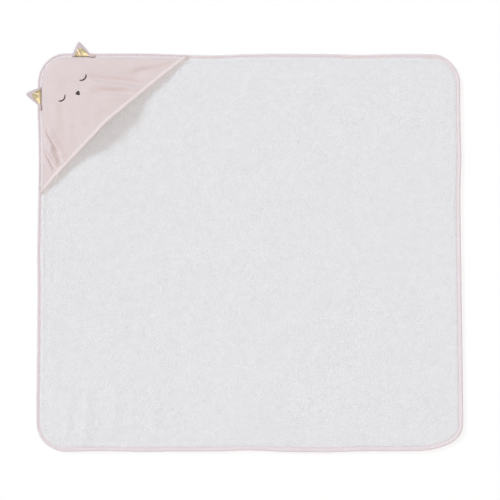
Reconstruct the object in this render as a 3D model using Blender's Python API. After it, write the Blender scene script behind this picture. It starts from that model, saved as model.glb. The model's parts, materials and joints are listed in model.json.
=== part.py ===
"""A hooded baby towel, laid flat with its hood at the upper left corner.

The towel is a terry square with rounded corners. A narrow tape is folded over its edge all the
way round. A lined, triangular hood is caught in that tape over one corner, and is open along its
mouth, which has a tape of its own. Two flat ears are sewn to the corner's two edges, and a
sleeping face is embroidered on the hood. The hooded corner folds up about a line just outside
the hood's mouth, and each ear folds over about its own seam.

Metres, +Z up. The origin is the middle of the towel's underside, on the surface it lies on.
"""

import math

import bmesh
import bpy
from mathutils import Matrix, Vector

# The towel
WIDTH = 0.800
LENGTH = 0.750
CORNER_RADIUS = 0.055
TERRY_THICKNESS = 0.0036
ARC_STEPS = 8
GAP = 0.0003

# The tape round the edge
TAPE_THICKNESS = 0.0008
TAPE_WIDTH = 0.010
TAPE_ROUNDING = 0.0014
EDGE_HEIGHT = 0.0038
HOOD_EDGE_HEIGHT = 0.0060
HEM_INSET = TAPE_THICKNESS + 2 * GAP
HEM_TOP = 0.0025
SHOULDER_INSET = TAPE_WIDTH + 0.009

# The hood, measured along the towel's left and top edges from the square corner
HOOD_LEFT_LEG = 0.2675
HOOD_TOP_LEG = 0.285
MOUTH_BOW = 0.010
HOOD_STEEPNESS = 0.26
HOOD_RUN_IN = 0.010
RISE_INSET = TAPE_WIDTH + 0.0016
LINING_FULL = 0.0018
LINING_HEM = 0.0008
OUTER_FULL = 0.0010
OUTER_HEM = 0.0007
HEM_BLEND = 0.012
HOOD_COLUMNS = 44
HOOD_ROWS = 11

# The tape on the hood's mouth
MOUTH_TAPE_WIDTH = 0.0070
MOUTH_TAPE_START = 0.028
MOUTH_STEPS = 36

# The fold line of the hooded corner
FOLD_OFFSET = 0.016
FOLD_HEIGHT = 0.016

# The ears
EAR_BASE = 0.0395
EAR_HEIGHT = 0.0272
EAR_LEAN = 0.0055
EAR_FROM_CORNER = 0.0835
EAR_SEAM_INSET = 0.0057
EAR_BACK_THICKNESS = 0.0012
EAR_FRONT_THICKNESS = 0.0006
EAR_TIP_RADIUS = 0.0028
EAR_BORDER = 0.0030
EAR_TIP_BORDER = 0.0085
EAR_STEPS = 6

# The face, measured down the hood's diagonal from the square corner and across it
EYE_DOWN = 0.0962
EYE_ACROSS = 0.0277
EYE_WIDTH = 0.0168
EYE_DEPTH = 0.0050
EYE_LINE = 0.0018
NOSE_DOWN = 0.1090
NOSE_SIZE = 0.0095
THREAD_PAD = 0.0009

# The stitching
THREAD_RADIUS = 0.00025
SEAM_INSET = 0.0082
MOUTH_SEAM = 0.0054

LEFT = -WIDTH / 2
TOP = LENGTH / 2
HEM_FLOOR = TAPE_THICKNESS + GAP
LINING_FLOOR = HEM_TOP + GAP

TERRY_WHITE = (0.80, 0.80, 0.81)
HOOD_PINK = (0.74, 0.61, 0.61)
TAPE_PINK = (0.76, 0.62, 0.65)
MOUTH_PINK = (0.82, 0.72, 0.73)
GOLD = (0.66, 0.50, 0.22)
THREAD_BROWN = (0.03, 0.02, 0.02)


def clear_scene():
    for old in list(bpy.data.objects):
        bpy.data.objects.remove(old)


def fabric(name, colour, roughness=0.95, metallic=0.0):
    material = bpy.data.materials.new(name)
    material.use_nodes = True
    shader = material.node_tree.nodes["Principled BSDF"]
    shader.inputs["Base Color"].default_value = (*colour, 1.0)
    shader.inputs["Roughness"].default_value = roughness
    shader.inputs["Metallic"].default_value = metallic
    return material


def add_object(name, points, faces, material):
    mesh = bpy.data.meshes.new(name)
    mesh.from_pydata([tuple(p) for p in points], [], faces)
    mesh.materials.append(material)
    work = bmesh.new()
    work.from_mesh(mesh)
    bmesh.ops.remove_doubles(work, verts=work.verts, dist=1e-6)
    bmesh.ops.recalc_face_normals(work, faces=work.faces)
    work.to_mesh(mesh)
    work.free()
    made = bpy.data.objects.new(name, mesh)
    bpy.context.scene.collection.objects.link(made)
    return made


def smooth_step(value):
    clamped = min(1.0, max(0.0, value))
    return clamped * clamped * (3 - 2 * clamped)


# Outlines of the whole towel -------------------------------------------------------------------


def towel_outline(inset):
    """The rounded square, moved inwards by inset, counterclockwise from the lower right corner."""
    radius = CORNER_RADIUS - inset
    half_width = WIDTH / 2 - CORNER_RADIUS
    half_length = LENGTH / 2 - CORNER_RADIUS
    centres = [
        (half_width, -half_length, -90),
        (half_width, half_length, 0),
        (-half_width, half_length, 90),
        (-half_width, -half_length, 180),
    ]
    points = []
    for x, y, start in centres:
        for step in range(ARC_STEPS + 1):
            angle = math.radians(start + 90 * step / ARC_STEPS)
            points.append((x + radius * math.cos(angle), y + radius * math.sin(angle)))
    return points


def stacked_loops(profile):
    """The towel's outline at each (inset, height) of the profile, and the faces between them."""
    points = []
    for inset, height in profile:
        points.extend(Vector((x, y, height)) for x, y in towel_outline(inset))
    count = len(towel_outline(0))
    faces = []
    for level in range(len(profile) - 1):
        faces.extend(joined_rings(level * count, (level + 1) * count, count))
    return points, faces, count


def joined_rings(first, second, count):
    return [
        (first + i, first + (i + 1) % count, second + (i + 1) % count, second + i)
        for i in range(count)
    ]


def terry_blank():
    """The terry square: full thickness inside, thinned to a hem where the tape grips it."""
    inside = TAPE_WIDTH + GAP
    profile = [
        (inside, 0.0),
        (inside, HEM_FLOOR),
        (HEM_INSET, HEM_FLOOR),
        (HEM_INSET, HEM_TOP),
        (inside, HEM_TOP),
        (SHOULDER_INSET, TERRY_THICKNESS),
    ]
    points, faces, count = stacked_loops(profile)
    last = (len(profile) - 1) * count
    faces.append(tuple(range(count)))
    faces.append(tuple(range(last, last + count)))
    return points, faces


def tape_blank(height):
    """The folded tape, a U lying on its side with its mouth inwards."""
    wall = TAPE_THICKNESS
    bend = TAPE_ROUNDING
    profile = [
        (TAPE_WIDTH, height),
        (bend, height),
        (0.3 * bend, height - 0.3 * bend),
        (0.0, height - bend),
        (0.0, bend),
        (0.3 * bend, 0.3 * bend),
        (bend, 0.0),
        (TAPE_WIDTH, 0.0),
        (TAPE_WIDTH, wall),
        (wall, wall),
        (wall, height - wall),
        (TAPE_WIDTH, height - wall),
    ]
    points, faces, count = stacked_loops(profile)
    faces.extend(joined_rings((len(profile) - 1) * count, 0, count))
    return points, faces


def thread_blank(height):
    """One round of stitching, lying on the tape."""
    sides = 6
    profile = []
    for side in range(sides):
        angle = 2 * math.pi * side / sides
        across = THREAD_RADIUS * math.cos(angle)
        up = THREAD_RADIUS * math.sin(angle)
        profile.append((SEAM_INSET + across, height + GAP + THREAD_RADIUS + up))
    points, faces, count = stacked_loops(profile)
    faces.extend(joined_rings((sides - 1) * count, 0, count))
    return points, faces


# The fold line ---------------------------------------------------------------------------------

LEFT_END = Vector((LEFT, TOP - HOOD_LEFT_LEG, 0.0))
TOP_END = Vector((LEFT + HOOD_TOP_LEG, TOP, 0.0))
MOUTH_DIRECTION = (TOP_END - LEFT_END).normalized()
TO_CORNER = Vector((-MOUTH_DIRECTION.y, MOUTH_DIRECTION.x, 0.0))
FOLD_POINT = (LEFT_END + TOP_END) / 2 - TO_CORNER * FOLD_OFFSET
FOLD_AXIS_POINT = FOLD_POINT + Vector((0.0, 0.0, FOLD_HEIGHT))


def cut_at_fold(made, keep_corner):
    """Cuts the object along the fold line and closes the cut, keeping one side of it."""
    side = 1 if keep_corner else -1
    point = FOLD_POINT + TO_CORNER * side * GAP / 2
    work = bmesh.new()
    work.from_mesh(made.data)
    cut = bmesh.ops.bisect_plane(
        work,
        geom=work.verts[:] + work.edges[:] + work.faces[:],
        dist=1e-7,
        plane_co=point,
        plane_no=TO_CORNER * side,
        clear_inner=True,
    )
    edges = [item for item in cut["geom_cut"] if isinstance(item, bmesh.types.BMEdge)]
    for loop in edge_loops(edges):
        work.faces.new(loop)
    bmesh.ops.recalc_face_normals(work, faces=work.faces)
    work.to_mesh(made.data)
    work.free()


def edge_loops(edges):
    """The closed rings of vertices that these edges form."""
    left = set(edges)
    loops = []
    while left:
        first = left.pop()
        loop = [first.verts[0], first.verts[1]]
        while True:
            following = [e for e in loop[-1].link_edges if e in left]
            if not following:
                break
            left.remove(following[0])
            loop.append(following[0].other_vert(loop[-1]))
        loops.append(loop[:-1] if loop[0] == loop[-1] else loop)
    return loops


def add_cut_piece(name, blank, material, keep_corner):
    points, faces = blank
    made = add_object(name, points, faces, material)
    cut_at_fold(made, keep_corner)
    return made


# The hood's surface ----------------------------------------------------------------------------


def edge_distance(x, y):
    """How far a point near the hooded corner is from the towel's outer edge."""
    from_left = x - LEFT
    from_top = TOP - y
    if from_left < CORNER_RADIUS and from_top < CORNER_RADIUS:
        to_centre = math.hypot(CORNER_RADIUS - from_left, CORNER_RADIUS - from_top)
        return CORNER_RADIUS - to_centre
    return min(from_left, from_top)


def hood_rise(x, y):
    """How high the hood stands above its seam: a rounded ridge that grows away from the corner."""
    from_left = max(x - LEFT, 1e-6)
    from_top = max(TOP - y, 1e-6)
    ridge = from_left * from_top / (from_left + from_top)
    run_in = max(0.0, edge_distance(x, y) - RISE_INSET)
    return HOOD_STEEPNESS * ridge * (1 - math.exp(-run_in / HOOD_RUN_IN))


def mouth_bow(along):
    """How far the mouth bows towards the corner: along is 0 at its middle and -1 or 1 at its ends."""
    return MOUTH_BOW * math.cos(math.pi / 2 * min(1.0, max(-1.0, along)))


def mouth_distance(x, y):
    """How far a point is from the bowed mouth, on the corner's side."""
    offset = Vector((x, y, 0.0)) - (LEFT_END + TOP_END) / 2
    along = offset.dot(MOUTH_DIRECTION)
    half_mouth = (TOP_END - LEFT_END).length / 2
    return offset.dot(TO_CORNER) - mouth_bow(along / half_mouth)


def layer_fullness(x, y):
    """0 where the layers are pressed into a seam or the mouth tape, 1 where they are full."""
    from_seam = (edge_distance(x, y) - TAPE_WIDTH) / HEM_BLEND
    from_mouth = (mouth_distance(x, y) - MOUTH_TAPE_WIDTH) / HEM_BLEND
    return smooth_step(min(from_seam, from_mouth))


def layer_heights(x, y):
    """The lining's underside and top and the outer layer's underside and top."""
    fullness = layer_fullness(x, y)
    lining_under = LINING_FLOOR + hood_rise(x, y)
    lining_top = lining_under + LINING_HEM + (LINING_FULL - LINING_HEM) * fullness
    outer_under = lining_top + GAP
    outer_top = outer_under + OUTER_HEM + (OUTER_FULL - OUTER_HEM) * fullness
    return lining_under, lining_top, outer_under, outer_top


def mouth_point(share):
    """A point of the hood's mouth in plan: share 0 is its left end, 1 its top end."""
    ends = [edge_end(LEFT_END, HEM_INSET), edge_end(TOP_END, HEM_INSET)]
    straight = ends[0].lerp(ends[1], share)
    return straight + TO_CORNER * mouth_bow(2 * share - 1)


def edge_end(end, inset):
    """A leg's end, moved along the mouth to this inset from the towel's edge."""
    towards_middle = MOUTH_DIRECTION if end is LEFT_END else -MOUTH_DIRECTION
    away_from_edge = abs(towards_middle.x) if end is LEFT_END else abs(towards_middle.y)
    return end + towards_middle * (inset / away_from_edge)


def seam_point(share):
    """A point of the hood's sewn edge in plan: down the left leg at 0, on the top leg at 1."""
    start = edge_end(LEFT_END, HEM_INSET)
    finish = edge_end(TOP_END, HEM_INSET)
    radius = CORNER_RADIUS - HEM_INSET
    left_run = TOP - CORNER_RADIUS - start.y
    arc_run = radius * math.pi / 2
    top_run = finish.x - (LEFT + CORNER_RADIUS)
    travelled = share * (left_run + arc_run + top_run)
    if travelled <= left_run:
        return Vector((start.x, start.y + travelled, 0.0))
    if travelled <= left_run + arc_run:
        angle = math.pi - (travelled - left_run) / radius
        x = LEFT + CORNER_RADIUS + radius * math.cos(angle)
        y = TOP - CORNER_RADIUS + radius * math.sin(angle)
        return Vector((x, y, 0.0))
    return Vector((finish.x - top_run + travelled - left_run - arc_run, finish.y, 0.0))


def share_inside_tape(seam, mouth):
    """How much of the way from the sewn edge to the mouth lies under the edge tape."""
    low, high = 0.0, 1.0
    for _ in range(24):
        middle = (low + high) / 2
        place = seam.lerp(mouth, middle)
        if edge_distance(place.x, place.y) < RISE_INSET:
            low = middle
        else:
            high = middle
    return min(low, 0.5)


def hood_grid():
    """Columns of plan points that run from the sewn edge to the mouth, with one under each tape's edge."""
    columns = []
    for column in range(HOOD_COLUMNS + 1):
        seam = seam_point(column / HOOD_COLUMNS)
        mouth = mouth_point(column / HOOD_COLUMNS)
        start = share_inside_tape(seam, mouth)
        depth = max(mouth_distance(seam.x, seam.y), 1e-6)
        end = max(1 - (MOUTH_TAPE_WIDTH + GAP) / depth, (1 + start) / 2)
        steps = HOOD_ROWS - 2
        shares = [start + (end - start) * (row / steps) ** 1.2 for row in range(steps + 1)]
        columns.append([seam.lerp(mouth, share) for share in (0.0, *shares, 1.0)])
    return columns


def add_hood_layer(name, under, top, material):
    """One closed sheet of the hood, between two of the four heights that layer_heights gives."""
    columns = hood_grid()
    rows = HOOD_ROWS + 1
    points = []
    for level in (under, top):
        for column in columns:
            points.extend(Vector((p.x, p.y, layer_heights(p.x, p.y)[level])) for p in column)
    half = len(points) // 2
    faces = []
    for column in range(HOOD_COLUMNS):
        for row in range(HOOD_ROWS):
            a = column * rows + row
            for corners in ((a, a + 1, a + 1 + rows), (a, a + 1 + rows, a + rows)):
                faces.append(tuple(reversed(corners)))
                faces.append(tuple(half + corner for corner in corners))
    for edge in (range(0, half, rows), range(rows - 1, half, rows)):
        line = list(edge)
        faces.extend((a, b, half + b, half + a) for a, b in zip(line, line[1:]))
    return add_object(name, points, faces, material)


# Strips that follow the hood -------------------------------------------------------------------


def swept(path, frames, section):
    """A closed bar: the section, in (across, up) pairs, carried along the path, with flat ends."""
    count = len(section)
    points = []
    for place, (across, up) in zip(path, frames):
        points.extend(place + across * a + up * b for a, b in section)
    faces = []
    for step in range(len(path) - 1):
        faces.extend(joined_rings(step * count, (step + 1) * count, count))
    faces.append(tuple(range(count)))
    faces.append(tuple(range((len(path) - 1) * count, len(path) * count)))
    return points, faces


def path_frames(path, across_hint):
    """For each point of the path, a direction across it and one upwards, square to the path."""
    frames = []
    for i, _ in enumerate(path):
        ahead = path[min(i + 1, len(path) - 1)]
        behind = path[max(i - 1, 0)]
        tangent = (ahead - behind).normalized()
        hint = across_hint(i)
        across = (hint - tangent * hint.dot(tangent)).normalized()
        up = across.cross(tangent)
        frames.append((across, up if up.z > 0 else -up))
    return frames


def on_layer(x, y, level):
    return Vector((x, y, layer_heights(x, y)[level]))


def mouth_path():
    """The middle of the hood's edge at its mouth, and the direction into the cloth from there."""
    clear = MOUTH_TAPE_START / (TOP_END - LEFT_END).length * math.sqrt(2)
    path = []
    inwards = []
    for step in range(MOUTH_STEPS + 1):
        plan = mouth_point(clear + (1 - 2 * clear) * step / MOUTH_STEPS)
        heights = layer_heights(plan.x, plan.y)
        path.append(Vector((plan.x, plan.y, (heights[0] + heights[3]) / 2)))
        inside = plan + TO_CORNER * MOUTH_TAPE_WIDTH
        inside_heights = layer_heights(inside.x, inside.y)
        middle = Vector((inside.x, inside.y, (inside_heights[0] + inside_heights[3]) / 2))
        inwards.append(middle - path[-1])
    return path, path_frames(path, lambda i: inwards[i])


def mouth_stack():
    """Half the height of the two layers where the mouth tape grips them, with their gaps."""
    return (LINING_HEM + GAP + OUTER_HEM) / 2 + GAP


def add_mouth_tape(material):
    path, frames = mouth_path()
    inner = mouth_stack() + GAP
    outer = inner + TAPE_THICKNESS
    floor = 3 * GAP
    nose = floor + TAPE_THICKNESS
    section = [
        (MOUTH_TAPE_WIDTH, outer),
        (-0.2 * nose, outer),
        (-nose, 0.5 * outer),
        (-nose, -0.5 * outer),
        (-0.2 * nose, -outer),
        (MOUTH_TAPE_WIDTH, -outer),
        (MOUTH_TAPE_WIDTH, -inner),
        (-floor, -inner),
        (-floor, inner),
        (MOUTH_TAPE_WIDTH, inner),
    ]
    points, faces = swept(path, frames, section)
    return add_object("hood_mouth_binding", points, faces, material)


def add_mouth_thread(material):
    path, frames = mouth_path()
    lift = mouth_stack() + GAP + TAPE_THICKNESS + GAP + THREAD_RADIUS
    line = [p + across * MOUTH_SEAM + up * lift for p, (across, up) in zip(path, frames)]
    points, faces = swept(line, frames, round_section(THREAD_RADIUS, THREAD_RADIUS, 6))
    return add_object("hood_mouth_stitching", points, faces, material)


def round_section(half_width, half_height, sides):
    angles = [2 * math.pi * side / sides for side in range(sides)]
    return [(half_width * math.cos(a), half_height * math.sin(a)) for a in angles]


# The face --------------------------------------------------------------------------------------


def face_point(down, across):
    """A plan point on the hood: down its diagonal from the square corner, and across to the right."""
    diagonal = Vector((1.0, -1.0, 0.0)).normalized()
    sideways = Vector((1.0, 1.0, 0.0)).normalized()
    return Vector((LEFT, TOP, 0.0)) + diagonal * down + sideways * across


def add_eye(name, side, material):
    """A closed eye: a satin-stitched arc that sags towards the mouth."""
    steps = 14
    lift = GAP + THREAD_PAD / 2
    path = []
    for step in range(steps + 1):
        across = 2 * step / steps - 1
        down = EYE_DOWN + EYE_DEPTH * (1 - across * across) - EYE_DEPTH / 2
        plan = face_point(down, side * EYE_ACROSS + across * EYE_WIDTH / 2)
        path.append(on_layer(plan.x, plan.y, 3) + Vector((0.0, 0.0, lift * 1.4)))
    diagonal = face_point(1.0, 0.0) - face_point(0.0, 0.0)
    frames = path_frames(path, lambda i: diagonal)
    points, faces = swept(path, frames, round_section(EYE_LINE / 2, THREAD_PAD / 2, 8))
    return add_object(name, points, faces, material)


def add_nose(material):
    """A small rounded triangle of satin stitch, with its point towards the mouth."""
    sides = 18
    rings = [(1.0, 0.0), (1.0, 0.5), (0.75, 0.9), (0.4, 1.0)]
    points = []
    for scale, rise in rings:
        for side in range(sides):
            angle = 2 * math.pi * side / sides
            reach = NOSE_SIZE / 2 * (1 + 0.16 * math.cos(3 * angle)) * scale
            plan = face_point(NOSE_DOWN + reach * math.cos(angle), reach * math.sin(angle))
            base = on_layer(plan.x, plan.y, 3)
            points.append(base + Vector((0.0, 0.0, GAP + THREAD_PAD * rise)))
    faces = []
    for ring in range(len(rings) - 1):
        faces.extend(joined_rings(ring * sides, (ring + 1) * sides, sides))
    faces.append(tuple(range(sides)))
    faces.append(tuple(range((len(rings) - 1) * sides, len(rings) * sides)))
    return add_object("nose_embroidery", points, faces, material)


# The ears --------------------------------------------------------------------------------------


def ear_outline(border, tip_border):
    """An ear in (along, out) pairs, leaning towards the hood's corner, with a rounded tip."""
    half = EAR_BASE / 2 - border
    tip_out = EAR_HEIGHT - tip_border
    radius = max(EAR_TIP_RADIUS - border / 2, 0.0012)
    tip = Vector((EAR_LEAN, tip_out - radius))
    foot = border
    points = [Vector((half, foot)), Vector((-half, foot))]
    left_angle = math.atan2(tip.x + half, -(tip.y - foot)) + math.pi / 2
    right_angle = math.atan2(tip.y - foot, tip.x - half) - math.pi / 2
    for step in range(EAR_STEPS + 1):
        angle = left_angle + (right_angle - left_angle) * step / EAR_STEPS
        points.append(tip + Vector((math.cos(angle), math.sin(angle))) * radius)
    return points


def ear_height():
    return HOOD_EDGE_HEIGHT + GAP + EAR_BACK_THICKNESS / 2


def ear_seam(side):
    """The middle of an ear's seam, the direction out from the towel and the one to the corner."""
    if side == "left":
        place = Vector((LEFT + EAR_SEAM_INSET, TOP - EAR_FROM_CORNER, ear_height()))
        return place, Vector((-1.0, 0.0, 0.0)), Vector((0.0, 1.0, 0.0))
    place = Vector((LEFT + EAR_FROM_CORNER, TOP - EAR_SEAM_INSET, ear_height()))
    return place, Vector((0.0, 1.0, 0.0)), Vector((-1.0, 0.0, 0.0))


def add_ear_layer(name, side, outline, low, high, material):
    place, out, along = ear_seam(side)
    points = []
    for level in (low, high):
        for a, b in outline:
            points.append(place + along * a + out * b + Vector((0.0, 0.0, level)))
    count = len(outline)
    faces = joined_rings(0, count, count)
    faces.append(tuple(range(count)))
    faces.append(tuple(range(count, 2 * count)))
    return add_object(name, points, faces, material)


def add_ear(side, pink, gold):
    """An ear's pink back and its gold front."""
    half = EAR_BACK_THICKNESS / 2
    low = half + GAP
    high = low + EAR_FRONT_THICKNESS
    front_outline = ear_outline(EAR_BORDER, EAR_TIP_BORDER)
    return [
        add_ear_layer(f"ear_{side}_back", side, ear_outline(0.0, 0.0), -half, half, pink),
        add_ear_layer(f"ear_{side}_front", side, front_outline, low, high, gold),
    ]


# The hinges ------------------------------------------------------------------------------------


def add_hinge(name, place, parent=None):
    """An empty on a joint's axis, which the pieces that turn about it hang on."""
    hinge = bpy.data.objects.new(name, None)
    hinge.location = place - (parent.location if parent else Vector())
    hinge.parent = parent
    bpy.context.scene.collection.objects.link(hinge)
    return hinge


def hang_on(hinge, place, pieces):
    """Moves each piece's origin onto the hinge's axis and parents it there; its shape stays put."""
    for piece in pieces:
        piece.data.transform(Matrix.Translation(-place))
        piece.parent = hinge


def build():
    clear_scene()
    terry = fabric("terry", TERRY_WHITE)
    hood_cloth = fabric("hood_cloth", HOOD_PINK)
    edge_tape = fabric("edge_tape", TAPE_PINK)
    mouth_tape = fabric("mouth_tape", MOUTH_PINK)
    gold = fabric("gold_cloth", GOLD, roughness=0.4, metallic=0.8)
    brown = fabric("brown_thread", THREAD_BROWN, roughness=0.7)
    thread = fabric("pink_thread", MOUTH_PINK, roughness=0.7)

    add_cut_piece("terry_panel", terry_blank(), terry, False)
    add_cut_piece("edge_binding", tape_blank(EDGE_HEIGHT), edge_tape, False)
    add_cut_piece("edge_stitching", thread_blank(EDGE_HEIGHT), thread, False)

    corner = [
        add_cut_piece("terry_corner", terry_blank(), terry, True),
        add_cut_piece("edge_binding_corner", tape_blank(HOOD_EDGE_HEIGHT), edge_tape, True),
        add_cut_piece("edge_stitching_corner", thread_blank(HOOD_EDGE_HEIGHT), thread, True),
        add_hood_layer("hood_lining", 0, 1, terry),
        add_hood_layer("hood_outer", 2, 3, hood_cloth),
        add_mouth_tape(mouth_tape),
        add_mouth_thread(thread),
        add_eye("eye_left_embroidery", -1, brown),
        add_eye("eye_right_embroidery", 1, brown),
        add_nose(brown),
    ]
    corner_hinge = add_hinge("hooded_corner_hinge", FOLD_AXIS_POINT)
    hang_on(corner_hinge, FOLD_AXIS_POINT, corner)
    for side in ("left", "right"):
        seam_middle = ear_seam(side)[0]
        ear_hinge = add_hinge(f"ear_{side}_hinge", seam_middle, corner_hinge)
        hang_on(ear_hinge, seam_middle, add_ear(side, hood_cloth, gold))


build()
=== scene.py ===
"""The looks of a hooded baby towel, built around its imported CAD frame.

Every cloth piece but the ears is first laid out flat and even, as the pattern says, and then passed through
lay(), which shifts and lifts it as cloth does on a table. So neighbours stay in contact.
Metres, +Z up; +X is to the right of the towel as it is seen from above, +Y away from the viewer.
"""

import json
import math

import bmesh
import bpy
import numpy as np
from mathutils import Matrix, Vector
from mathutils.bvhtree import BVHTree


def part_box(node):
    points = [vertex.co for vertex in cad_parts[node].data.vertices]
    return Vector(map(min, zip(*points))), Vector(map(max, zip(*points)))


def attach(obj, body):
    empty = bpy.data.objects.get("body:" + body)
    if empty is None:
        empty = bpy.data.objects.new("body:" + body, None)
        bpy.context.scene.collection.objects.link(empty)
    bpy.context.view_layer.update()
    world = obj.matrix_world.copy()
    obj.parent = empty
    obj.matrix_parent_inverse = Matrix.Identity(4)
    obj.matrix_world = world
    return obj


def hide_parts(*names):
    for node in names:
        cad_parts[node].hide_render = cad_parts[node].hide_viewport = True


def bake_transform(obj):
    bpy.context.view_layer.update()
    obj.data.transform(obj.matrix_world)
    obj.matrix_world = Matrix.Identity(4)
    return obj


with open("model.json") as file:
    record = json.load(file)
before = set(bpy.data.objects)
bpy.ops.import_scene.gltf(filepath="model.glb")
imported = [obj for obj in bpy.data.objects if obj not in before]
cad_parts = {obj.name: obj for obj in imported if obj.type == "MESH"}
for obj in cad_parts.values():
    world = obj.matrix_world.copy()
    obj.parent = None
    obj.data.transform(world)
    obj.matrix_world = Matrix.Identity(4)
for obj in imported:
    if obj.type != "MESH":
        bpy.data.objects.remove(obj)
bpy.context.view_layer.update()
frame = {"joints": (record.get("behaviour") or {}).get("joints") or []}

# The towel's own size, from the frame
TAPE_LOW, TAPE_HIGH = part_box("edge_binding")
LEFT, BOTTOM = TAPE_LOW.x, TAPE_LOW.y
RIGHT, TOP = TAPE_HIGH.x, TAPE_HIGH.y

# Corner radii along X and Y, counterclockwise from the lower right corner
CORNER_RADII = ((0.083, 0.051), (0.052, 0.061), (0.053, 0.057), (0.060, 0.056))

# Terry
PILE_STEP = 0.0026
UNDERSIDE_STEP = 0.0052
PILE_HEIGHT = 0.0038
PRESSED_PILE = 0.0014
HEM_HEIGHT = 0.0024
HEM_INSET = 0.0045

# Tape round the edge
TAPE_WIDTH = 0.0091
TAPE_WALL = 0.0006
STITCH_FROM_TAPE_EDGE = 0.0017
HOOD_STITCH_INSET = 0.0047
HOOD_TAPE_EXTRA = 0.0026
VALLEY_HEIGHT = 0.0031
HOOD_VALLEY_EXTRA = 0.0013
LIP_RISE = 0.0004
CREST_HEIGHT = 0.0049
HOOD_CREST_EXTRA = 0.0016
CREST_INSET = 0.0026
HOOD_CREST_SHIFT = 0.0006
STITCH_PITCH = 0.0031
STITCH_LENGTH = 0.0026
THREAD_RADIUS = 0.00023
EMBROIDERY_RADIUS = 0.00027
NOSE_THREAD_RADIUS = 0.00030

# Hood
LEFT_LEG = 0.2690
TOP_LEG = 0.2865
MOUTH_BOW = 0.0092
MOUTH_NOTCH = 0.0018
HOOD_EDGE_INSET = 0.0042
HOOD_SEAM_HEIGHT = 0.0036
PILLOW_HEIGHT = 0.0036
HOOD_COLUMNS = 190
HOOD_ROWS = 84
OUTER_THICKNESS = 0.0011
LINING_THICKNESS = 0.0018

# Mouth tape
MOUTH_TAPE_WIDTH = 0.0064
MOUTH_STITCH_INSET = 0.0048

# Face
EYE_DOWN = 0.0958
EYE_ACROSS = 0.0277
EYE_RADIUS = 0.0093
EYE_HALF_ANGLE = math.radians(62)
EYE_LINE = 0.0030
NOSE_DOWN = 0.1096
NOSE_SIZE = 0.0046

# Ears
EAR_BASE = 0.0395
EAR_HEIGHT = 0.0272
EAR_LEAN = 0.0055
EAR_FROM_CORNER = 0.0835
EAR_SEAM_INSET = 0.0057
EAR_TUCK = 0.0012
EAR_TAIL_RADIUS = 0.0032
# The ear seam's stitches are dark brown thread, a painted shade line along each ear's base.
EAR_SEAM_THREAD = 0.00042
EAR_SEAM_PITCH = 0.0023
EAR_SEAM_STITCH = 0.0025
EAR_SEAM_LEVEL = 0.0012
GOLD_BORDER = 0.0036
GOLD_TIP_BORDER = 0.0096

# Looks
TERRY_WHITE = (0.904, 0.900, 0.921)
HOOD_PINK = (0.761, 0.648, 0.645)
TAPE_PINK = (0.856, 0.776, 0.798)
MOUTH_PINK = (0.880, 0.780, 0.775)
# The ears' backs are the hood's own velour; this darker, cooler pink is painted shade on them.
EAR_SHADED_PINK = (0.650, 0.565, 0.595)
EAR_TAIL_PINK = (0.700, 0.565, 0.565)
GOLD = (0.73, 0.61, 0.38)
THREAD_BROWN = (0.030, 0.018, 0.020)
THREAD_PINK = (0.86, 0.77, 0.79)


# Small tools -----------------------------------------------------------------------------------


def smooth_step(value):
    clamped = np.clip(value, 0.0, 1.0)
    return clamped * clamped * (3 - 2 * clamped)


def smooth_noise(x, y, cell, seed):
    """Smooth random values from -1 to 1 over the plane, with a new one every cell metres."""
    table = np.random.default_rng(seed).uniform(-1, 1, (256, 256))
    u, v = np.asarray(x) / cell + 512, np.asarray(y) / cell + 512
    i, j = np.floor(u).astype(int), np.floor(v).astype(int)
    fu, fv = smooth_step(u - i), smooth_step(v - j)
    low = table[i % 256, j % 256] * (1 - fu) + table[(i + 1) % 256, j % 256] * fu
    high = table[i % 256, (j + 1) % 256] * (1 - fu) + table[(i + 1) % 256, (j + 1) % 256] * fu
    return low * (1 - fv) + high * fv


def unit(vectors):
    return vectors / np.linalg.norm(vectors, axis=-1, keepdims=True)


def distance_along(line):
    """How far along the line each of its points is."""
    return np.concatenate([[0], np.cumsum(np.linalg.norm(np.diff(line, axis=0), axis=1))])


def grid_faces(rows, columns, closed_columns=False, start=0):
    """Quads over a rows x columns grid of points, stored row by row."""
    i = np.arange(rows - 1)[:, None]
    j = np.arange(columns if closed_columns else columns - 1)[None, :]
    k = (j + 1) % columns
    quads = np.stack([i * columns + j, i * columns + k, (i + 1) * columns + k, (i + 1) * columns + j], -1)
    return (quads.reshape(-1, 4) + start).tolist()


def tube_faces(rings, sides):
    """The faces of a tube, and one over each of its ends."""
    last = (rings - 1) * sides
    ends = [list(range(sides))[::-1], list(range(last, last + sides))]
    return grid_faces(rings, sides, closed_columns=True) + ends


def add_mesh(name, points, faces, material, tidy=True):
    """A smooth-shaded object with its faces pointing out."""
    mesh = bpy.data.meshes.new(name)
    mesh.from_pydata(np.asarray(points, float).tolist(), [], faces)
    if tidy:
        work = bmesh.new()
        work.from_mesh(mesh)
        bmesh.ops.remove_doubles(work, verts=work.verts, dist=1e-6)
        bmesh.ops.recalc_face_normals(work, faces=work.faces)
        work.to_mesh(mesh)
        work.free()
    mesh.shade_smooth()
    mesh.materials.append(material)
    made = bpy.data.objects.new(name, mesh)
    bpy.context.scene.collection.objects.link(made)
    return made


# How the cloth lies ----------------------------------------------------------------------------

# Where the towel's edge is drawn in or out: the place, as shares of half the width and half the
# length, the shift along X and Y, and how far round it reaches
PULLS = (
    (1.0, 0.19, -0.0022, 0.0, 0.055),
    (1.0, 0.47, 0.0012, 0.0, 0.035),
    (-0.17, 1.0, 0.0, -0.0028, 0.080),
    (0.72, 1.0, 0.0, 0.0012, 0.060),
    (-0.71, -1.0, 0.0, 0.0018, 0.055),
    (0.0, -1.0, 0.0, 0.0020, 0.040),
    (0.36, -1.0, 0.0, -0.0019, 0.060),
    (0.88, -1.0, 0.0, 0.0020, 0.040),
    (-1.0, 0.39, 0.0018, 0.0, 0.045),
)

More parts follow.
